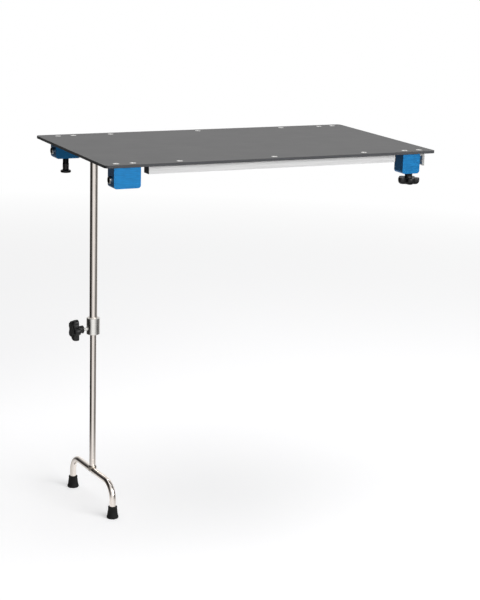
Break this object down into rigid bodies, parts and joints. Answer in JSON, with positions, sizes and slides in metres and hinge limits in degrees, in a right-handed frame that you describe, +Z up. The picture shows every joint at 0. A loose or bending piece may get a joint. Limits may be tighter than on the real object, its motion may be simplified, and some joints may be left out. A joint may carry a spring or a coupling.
{
  "type": "hand surgery table",
  "caption": "Thin radiolucent board with edge stiffeners, clamped to a side rail at one end and standing on a telescopic T-foot leg at the other.",
  "frame": {"origin": "the seat of the side rail's top edge, in the middle of the table's width", "axes": "+X along the board, out past the rail; +Y across it to the far side; +Z up"},
  "size_m": [0.864, 0.4966, 0.893],
  "materials": {
    "phenolic": "satin, fine grain",
    "bright_aluminium": "satin anodised",
    "blue_aluminium": "blue anodised, satin",
    "black_plastic": "moulded, fine texture",
    "stainless": "polished along its length",
    "hook_steel": "satin",
    "screw_steel": "bright",
    "spring_steel": "drawn wire",
    "black_steel": "black oxide",
    "shoe_brass": "turned",
    "nylon": "natural",
    "tip_rubber": "moulded"
  },
  "bodies": {
    "table": {"tabletop": "phenolic", "stiffener_near": "bright_aluminium", "stiffener_far": "bright_aluminium", "stiffener_end_caps": "black_plastic", "stiffener_inserts": "screw_steel", "stiffener_screws": "screw_steel", "block_screws": "screw_steel", "hook_screws": "screw_steel", "end_block_near": "blue_aluminium", "end_block_far": "blue_aluminium", "end_sleeve_near": "stainless", "end_sleeve_far": "stainless", "clamp_block_near": "blue_aluminium", "clamp_block_far": "blue_aluminium", "rail_hook_near": "hook_steel", "rail_hook_far": "hook_steel", "plunger_guide": "black_steel", "lock_spring": "spring_steel", "leg_socket": "stainless", "spare_leg_socket": "stainless", "socket_screws": "screw_steel", "socket_set_screws": "black_steel"},
    "upper_leg": {"upper_tube": "stainless", "leg_collar": "stainless", "collar_set_screw": "black_steel"},
    "lower_leg": {"lower_tube": "stainless", "lower_tube_guide": "nylon", "foot_tube": "stainless", "foot_weld": "stainless", "foot_tip_near": "tip_rubber", "foot_tip_far": "tip_rubber", "tip_washers": "screw_steel"},
    "leg_clamp_shoe": {"leg_shoe": "shoe_brass"},
    "leg_clamp_knob": {"leg_knob": "black_plastic", "leg_knob_stud": "screw_steel"},
    "lock_plunger": {"lock_pin": "screw_steel", "pull_knob": "black_plastic"},
    "near_clamp_wedge": {"clamp_wedge_near": "screw_steel"},
    "near_clamp_screw": {"clamp_screw_near": "screw_steel", "clamp_knob_near": "black_plastic"},
    "near_jaw_pin": {"jaw_pin_near": "screw_steel"},
    "far_clamp_wedge": {"clamp_wedge_far": "screw_steel"},
    "far_clamp_screw": {"clamp_screw_far": "screw_steel", "clamp_knob_far": "black_plastic"},
    "far_jaw_pin": {"jaw_pin_far": "screw_steel"}
  },
  "joints": [
    {"name": "leg_swivel", "type": "hinge", "parent": "table", "child": "upper_leg", "pos_m": [-0.76275, 0, -0.005], "axis": [0, 0, 1], "continuous": true},
    {"name": "leg_height", "type": "slide", "parent": "upper_leg", "child": "lower_leg", "axis": [0, 0, -1], "range_m": [-0.175, 0.18]},
    {"name": "leg_shoe_travel", "type": "slide", "parent": "upper_leg", "child": "leg_clamp_shoe", "axis": [-1, 0, 0], "range_m": [0, 0.0025]},
    {"name": "leg_knob_turn", "type": "hinge", "parent": "leg_clamp_shoe", "child": "leg_clamp_knob", "pos_m": [-0.79175, 0, -0.4298], "axis": [-1, 0, 0], "range_deg": [0, 720]},
    {"name": "lock_pull", "type": "slide", "parent": "table", "child": "lock_plunger", "axis": [0, 0, -1], "range_m": [0, 0.006], "stiffness_N_per_m": 400, "springref_m": -0.01, "deforming": ["lock_spring"]},
    {"name": "near_wedge_travel", "type": "slide", "parent": "table", "child": "near_clamp_wedge", "axis": [0, 0, -1], "range_m": [0, 0.002]},
    {"name": "near_knob_turn", "type": "hinge", "parent": "near_clamp_wedge", "child": "near_clamp_screw", "pos_m": [-0.02325, -0.2218, -0.0425], "axis": [0, 0, -1], "range_deg": [0, 480]},
    {"name": "near_jaw_travel", "type": "slide", "parent": "table", "child": "near_jaw_pin", "axis": [-1, 0, 0], "range_m": [0, 0.002]},
    {"name": "far_wedge_travel", "type": "slide", "parent": "table", "child": "far_clamp_wedge", "axis": [0, 0, -1], "range_m": [0, 0.002]},
    {"name": "far_knob_turn", "type": "hinge", "parent": "far_clamp_wedge", "child": "far_clamp_screw", "pos_m": [-0.02325, 0.2218, -0.0425], "axis": [0, 0, -1], "range_deg": [0, 480]},
    {"name": "far_jaw_travel", "type": "slide", "parent": "table", "child": "far_jaw_pin", "axis": [-1, 0, 0], "range_m": [0, 0.002]}
  ],
  "couplings": [
    {"joint": "leg_knob_turn", "follows": "leg_shoe_travel", "rad_per_m": 5026.5},
    {"joint": "near_knob_turn", "follows": "near_wedge_travel", "rad_per_m": 4188.8},
    {"joint": "near_jaw_travel", "follows": "near_wedge_travel", "ratio": 1},
    {"joint": "far_knob_turn", "follows": "far_wedge_travel", "rad_per_m": 4188.8},
    {"joint": "far_jaw_travel", "follows": "far_wedge_travel", "ratio": 1}
  ]
}
